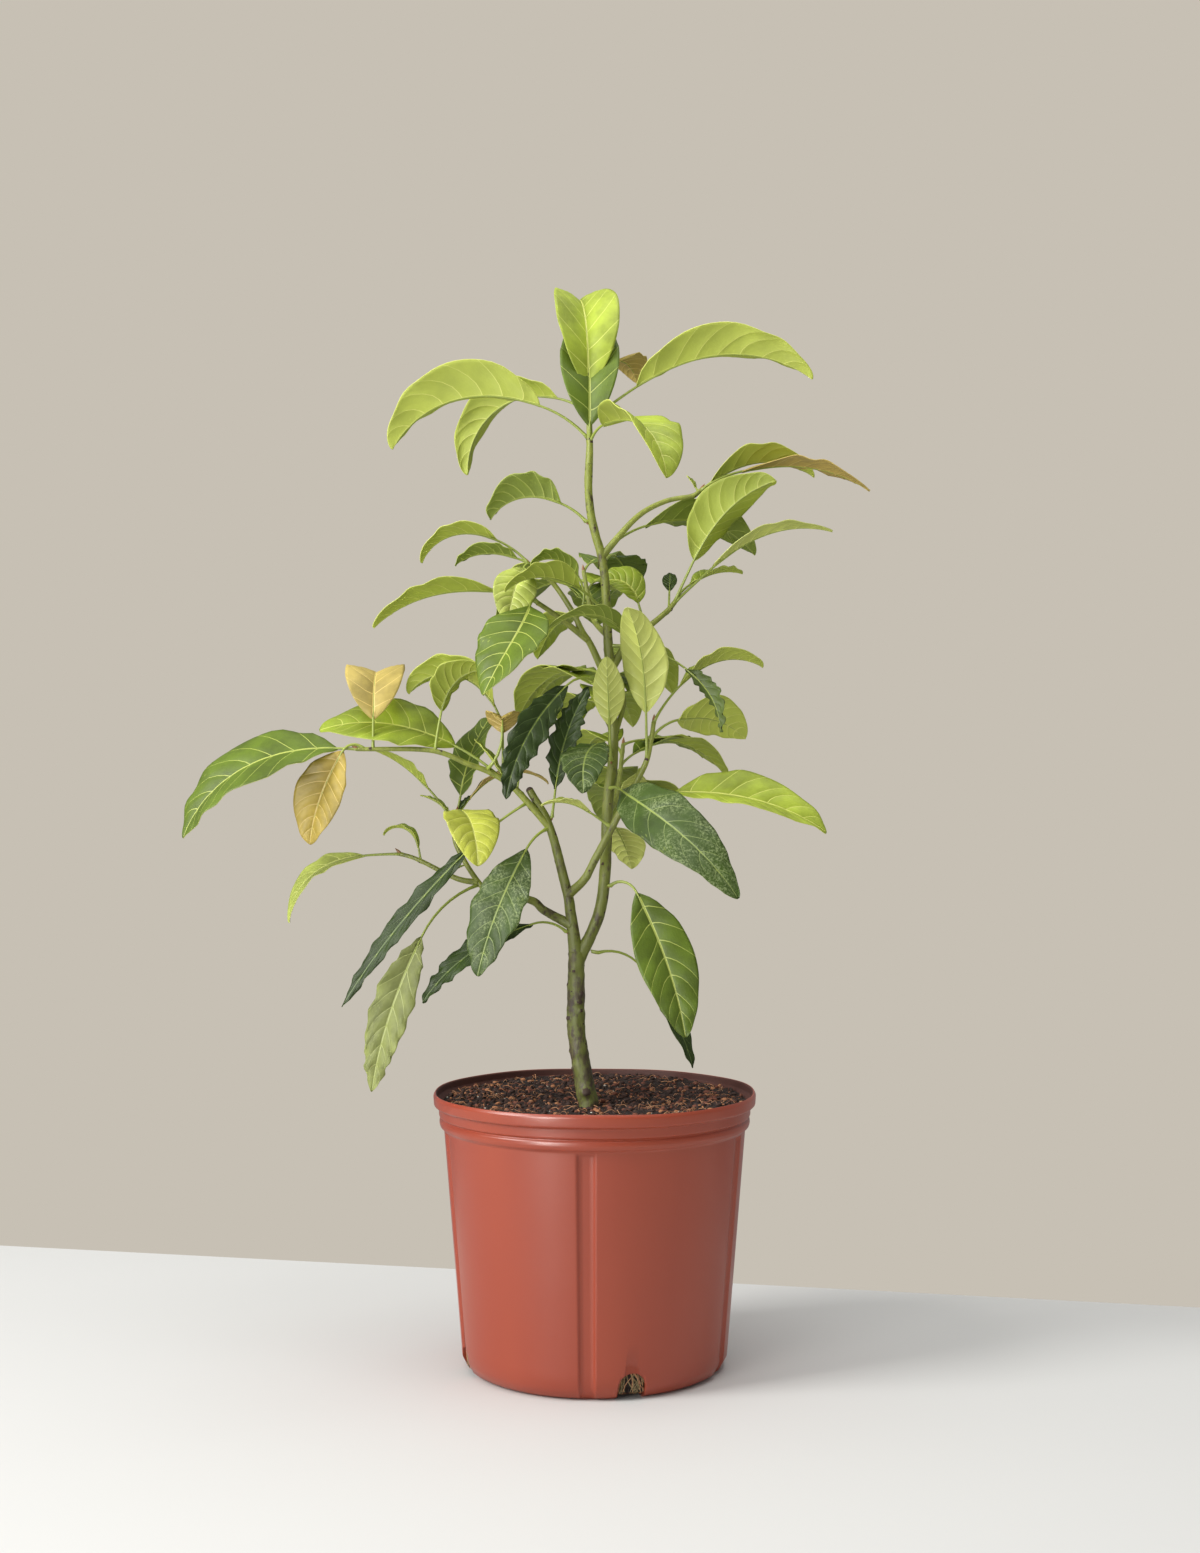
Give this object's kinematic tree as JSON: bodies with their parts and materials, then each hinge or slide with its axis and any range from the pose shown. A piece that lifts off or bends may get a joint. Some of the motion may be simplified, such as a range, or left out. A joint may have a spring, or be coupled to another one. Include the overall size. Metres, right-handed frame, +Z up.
{
  "type": "avocado tree in a pot",
  "caption": "Young avocado tree with a forked stem and loose drooping leaves, growing in a round clay-coloured nursery pot.",
  "frame": {"origin": "centre of the pot's flat underside", "axes": "+Z is up along the pot's axis, -Y is the side towards the viewer, +X is to the right in the picture"},
  "size_m": [0.5577, 0.2885, 0.8989],
  "materials": {
    "pot": "satin moulded plastic, brick coloured",
    "soil": "loose dark peat with bark chips",
    "bark": "thin green-brown bark",
    "leaves": "smooth green leaves"
  },
  "bodies": {
    "root": {"pot": "pot", "soil": "soil", "trunk": "bark", "leader": "bark", "bough_left": "bark", "bough_low_left": "bark", "bough_right": "bark", "spur": "bark", "top_tuft": "leaves", "upper_right_spray": "leaves", "right_spray": "leaves", "upper_left_spray": "leaves", "left_spray": "leaves", "low_left_spray": "leaves", "right_shoot": "leaves", "back_spray_low": "leaves", "back_spray_middle": "leaves", "back_spray_high": "leaves", "leaf_upper_left": "leaves", "leaf_over_spray": "leaves", "leaf_behind_leader": "leaves", "leaf_curled": "leaves", "leaf_hanging_left": "leaves", "leaf_standing": "leaves", "leaf_front": "leaves", "leaf_big_right": "leaves", "leaf_low_right": "leaves", "leaf_lowest_right": "leaves", "leaf_low_left": "leaves", "leaf_back_right": "leaves", "leaf_speckled": "leaves", "leaf_upright": "leaves", "leaf_pale_left": "leaves", "leaf_right": "leaves"}
  },
  "joints": []
}
